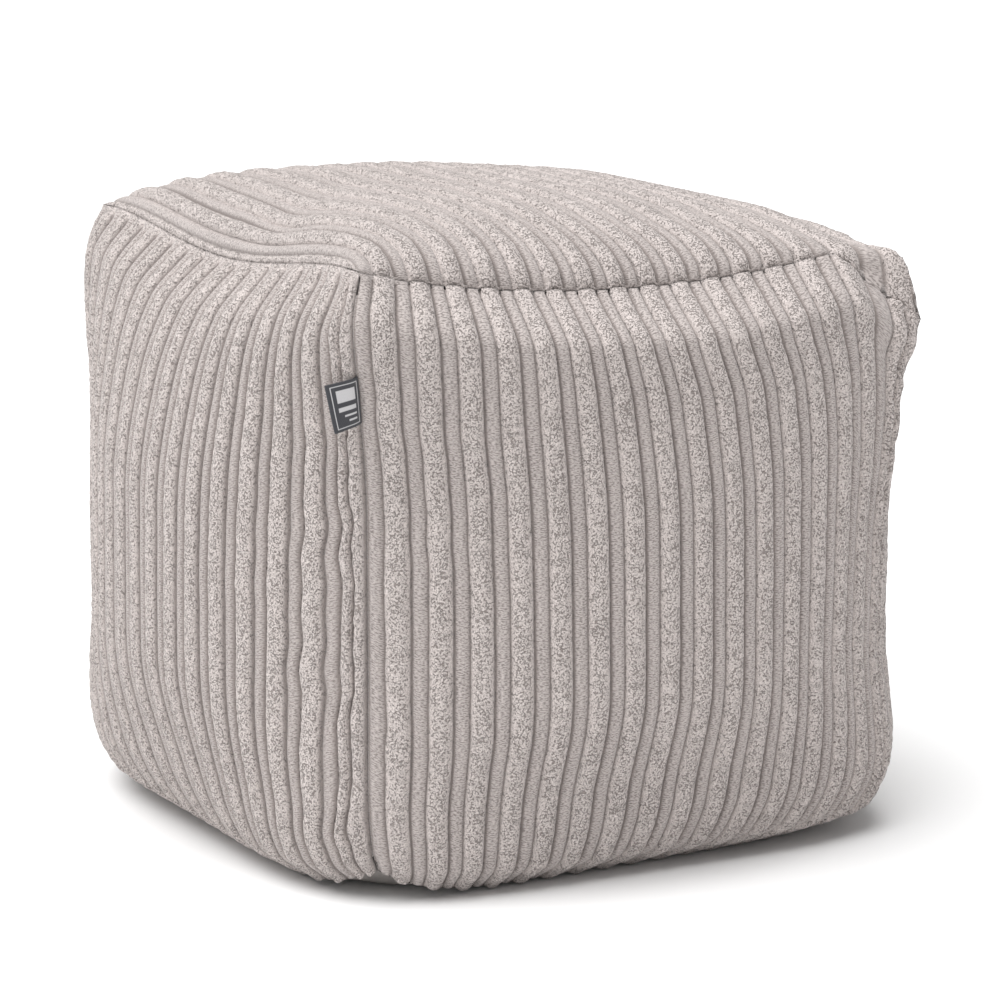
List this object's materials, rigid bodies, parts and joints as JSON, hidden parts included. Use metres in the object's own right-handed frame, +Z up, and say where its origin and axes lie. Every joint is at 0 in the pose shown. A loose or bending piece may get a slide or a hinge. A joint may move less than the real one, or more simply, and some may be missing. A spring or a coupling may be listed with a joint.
{
  "type": "bean bag footstool",
  "caption": "Filled cube footstool in jumbo cord, with bulging ribbed panels, a plain base panel and a folded side label.",
  "frame": {"origin": "on the floor, under the middle of the bag", "axes": "+Z up, -Y out of the front panel, +X towards the right-hand panel as seen from the front"},
  "size_m": [0.5622, 0.5399, 0.4758],
  "materials": {
    "cord": "matte jumbo cord with a pebbled pile on the fat ribs and fine cross ribbing on the thin ones",
    "base_cloth": "matte plain weave",
    "label_cloth": null
  },
  "bodies": {
    "root": {"cord_cover": "cord", "base_panel": "base_cloth", "side_label": "label_cloth"}
  },
  "joints": []
}
